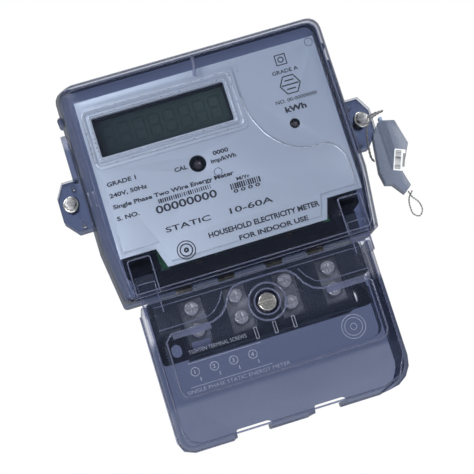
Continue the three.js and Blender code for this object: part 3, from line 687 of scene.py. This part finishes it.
# ------------------------------------------------------------------ moulded edges of the see-through covers, as beads in a paler, more opaque smoky plastic: painted edge light and shade
FACE_Y, LID_Y, LID_TOP_Y, SKIRT_Y = -50.0, -48.0, -45.0, -39.0
BOSS_Z = -59


def mirrored(points):
    return [*points, *[(-x, y, z) for x, y, z in reversed(points)]]


def case_line(half, low, top, y, lean, bend=-12.0, corner=5.0):
    """The case's outline at one depth, leaning in below the bend."""
    right = [(half - lean - 2, y, low), (half - lean, y, low + 2), (half, y, bend), (half, y, top - corner)]
    right += [(half - corner + corner * math.sin(a), y, top - corner + corner * math.cos(a))
              for a in (math.radians(d) for d in (72, 54, 36, 18, 0))]
    return mirrored(right)


pocket = [(44.7, -41.2), (44.7, -24.2), (45.4, -23.5), (54.6, -23.5), (55.3, -24.2), (55.3, -40.6)]
gathered("cover_edges", [
    bead(case_line(60.0, -39.3, 60.5, FACE_Y + 0.1, 3.2, corner=4.6), 0.32, closed=True),
    bead(case_line(61.6, -40.9, 62.1, FACE_Y + 0.85, 3.2), 0.22, closed=True),
    *[bead([(s * x, FACE_Y + 0.12, z) for x, z in pocket], 0.34) for s in (-1, 1)],
    bead(around(54.4, 51.2, 1.9, FACE_Y - 0.85, 24), 0.2, painted_highlight_raised, closed=True),
    bead(around(-3.8, 4.3, 1.8, FACE_Y - 0.3, 24), 0.2, painted_highlight_raised, closed=True),
    bead([(-0.9, FACE_Y, 50.6), (-0.1, FACE_Y, 54), (0.5, FACE_Y, 59.8)], 0.9, painted_highlight_rib),
], painted_light_clear, "housing")

PLATEAU = [(44.6, -90), (47.4, -88.8), (48.6, -86), (48.6, -63.4), (45.6, -60.4), (26.1, -60.4), (21.8, -58.8),
           (18.4, -55.4), (16, -51), (12.9, -47.9), (8.4, -47.1)]
SKIRT = [(-53.4, -44.5), (-53.4, -103), (-51.2, -108.4), (-46, -110.9), (41, -110.9), (49, -107.8), (53.4, -98.5),
         (53.4, -44.5)]
LOWER = [(-56.8, -44.3), (-56.8, -107), (-54.8, -111.5), (-49.8, -113.5), (-30.4, -113.5)]
gathered("lid_edges", [
    bead(mirrored([(x, LID_Y + 0.15, z) for x, z in PLATEAU]), 0.5, closed=True),
    bead([(x, SKIRT_Y + 0.15, z) for x, z in SKIRT], 0.45),
    bead([(x, -3.4, z) for x, z in LOWER], 0.5),
    bead([(x, -3.4, -113.3) for x in (-12.6, 6.6)], 0.5), bead([(22.9, -3.4, -113.3), (43, -3.4, -113.3),
                                                                (51, -3.4, -110), (56.6, -3.4, -100)], 0.5),
    bead([(-52, LID_TOP_Y + 0.1, -44.2), (52, LID_TOP_Y + 0.1, -44.2)], 0.4),
    bead([(-50, LID_TOP_Y + 0.1, -46.6), (50, LID_TOP_Y + 0.1, -46.6)], 0.25),
    *[bead([(s * x, LID_TOP_Y - 0.05, z) for x, z in ((50.5, -57.2), (27.5, -57.2), (24, -55.7), (20.6, -52.3),
                                                       (18.2, -48.2))], 0.3) for s in (-1, 1)],
    bead(around(0, BOSS_Z, 8.5, FACE_Y + 0.1, 48), 0.5, closed=True),
    bead(around(0, BOSS_Z, 5.9, FACE_Y + 0.1, 40), 0.42, closed=True),
    *[bead([(s * x, -47.45, z) for x, z in ((45.9, -49.6), (45.9, -35), (54.1, -35), (54.1, -49.6))], 0.35)
      for s in (-1, 1)],
], painted_light_clear, "terminal_cover")
# Flat strips where the ledges show as a band: painted light and shade.
for side, label in ((-1, "left"), (1, "right")):
    ledge = bar(*sorted((side * 27.4, side * 45.4)), -63.1, -60.9, LID_Y - 0.02, 0.1)
    gathered("ledge_" + label, [ledge], painted_light_clear, "terminal_cover")

# raised marks on the terminal cover, in the paler plastic that paints their highlight
RAISED_Y = LID_Y - 0.02
LID_MARK = (34, -81)
tick = bar(-0.22, 0.22, -84.2, -82.6, RAISED_Y, 0.2)
keep("terminal_ticks", row(tick, 4, -38.6, 9, painted_highlight_raised), painted_highlight_raised, "terminal_cover")
keep("terminal_marks", row(bead(around(0, -79.6, 1.9, RAISED_Y, 20), 0.2, painted_highlight_raised, closed=True, sides=6), 4,
                           -40.2, 9, painted_highlight_raised), painted_highlight_raised, "terminal_cover")
finger = bead([(-0.65, RAISED_Y - 0.8, -68.4), (-0.65, RAISED_Y - 0.9, -73.6), (0.65, RAISED_Y - 0.9, -73.6),
               (0.65, RAISED_Y - 0.8, -68.4)], 0.28, painted_highlight_raised, closed=True, sides=6)
keep("finger_rims", row(finger, 3, -8.85, 8.9, painted_highlight_raised), painted_highlight_raised, "terminal_cover")
gathered("lid_lettering", [
    lettering("TIGHTEN TERMINAL SCREWS", -40.6, -71.6, 1.8, RAISED_Y, 27, 0.0),
    lettering("1", -41, -80.4, 1.7, RAISED_Y), lettering("2", -32, -80.4, 1.7, RAISED_Y),
    lettering("3", -23, -80.4, 1.7, RAISED_Y), lettering("4", -14, -80.4, 1.7, RAISED_Y),
    lettering("SINGLE PHASE STATIC ENERGY METER", -46.4, -88.7, 1.6, RAISED_Y, 48, -0.01),
    bar(-44, -6, -86.15, -85.9, RAISED_Y, 0.12), bar(-42.4, -8, -75.6, -75.35, RAISED_Y, 0.12),
    ring(*LID_MARK, 5.6, 0.3, RAISED_Y, 40), ring(*LID_MARK, 4.2, 0.3, RAISED_Y, 40),
    ring(*LID_MARK, 1.6, 0.3, RAISED_Y, 24),
], painted_highlight_raised, "terminal_cover")
gathered("lid_pad", [bar(-38, -29.4, -71, -66.8, RAISED_Y + 0.1, 0.14)], painted_light_clear, "terminal_cover")

# ------------------------------------------------------------------ label on the seal
gathered("seal_label", [swung(bar(79.0, 84.2, -16.6, -6.2, -33.26, 0.06), 81.6, -11.4, -22)], ink_white, "seal")
gathered("seal_bars", [swung(mesh, 81.6, -11.4, -22 - 90) for mesh in (
    barcode(77.0, 86.2, -13.5, -10.7, -33.32, 22, 4), lettering("000000", 78.2, -9.9, 1.1, -33.32, 6.6))],
         ink_dark, "seal")

# ------------------------------------------------------------------ stage and light
FLOOR_Z = -0.62


def flat_floor():
    k = Look("studio floor")
    cloud = k.noise(3, 2)
    mat = k.done(k.shader(k.blend(cloud, (0.86, 0.86, 0.87), (0.9, 0.9, 0.9)), 0.9))
    bm = bmesh.new()
    bmesh.ops.create_circle(bm, cap_ends=True, radius=2.6, segments=64)
    mesh = bpy.data.meshes.new("floor")
    bm.to_mesh(mesh)
    bm.free()
    mesh.transform(Matrix.Translation((0, 0, FLOOR_Z)))
    mesh.materials.append(mat)
    floor = bpy.data.objects.new("floor", mesh)
    scene.collection.objects.link(floor)


def softbox(name, place, power, size, towards=(0, 0, 0)):
    data = bpy.data.lights.new(name, "AREA")
    data.energy, data.shape, data.size, data.size_y = power, "RECTANGLE", size[0], size[1]
    obj = bpy.data.objects.new(name, data)
    obj.location = place
    obj.rotation_euler = (Vector(towards) - Vector(place)).to_track_quat("-Z", "Y").to_euler()
    scene.collection.objects.link(obj)


flat_floor()
softbox("key", (-0.9, -1.2, 1.1), 22, (0.8, 0.8))
softbox("fill", (1.3, -1.3, 0.3), 11, (0.9, 1.1))
softbox("top", (0.1, -0.2, 1.6), 14, (1.2, 0.8))
softbox("low left", (-1.1, -0.7, -0.45), 6, (0.25, 0.9))
softbox("low side", (-0.8, -1.1, -0.38), 8, (0.4, 0.4), (0, 0, -0.06))
world = bpy.data.worlds.new("studio")
world.use_nodes = True
sky = world.node_tree
sky.nodes.clear()
seen = put(sky, "ShaderNodeLightPath", out="Is Camera Ray")
put(sky, "ShaderNodeOutputWorld", {}, (put(sky, "ShaderNodeMixShader", {}, (
    seen, put(sky, "ShaderNodeBackground", {}, ((0.92, 0.95, 1.0), 0.26)),
    put(sky, "ShaderNodeBackground", {}, ((1.0, 1.0, 1.0), 1.0)))),), out=None)
scene.world = world
scene.view_settings.view_transform = "Standard"
scene.cycles.transparent_max_bounces = 24
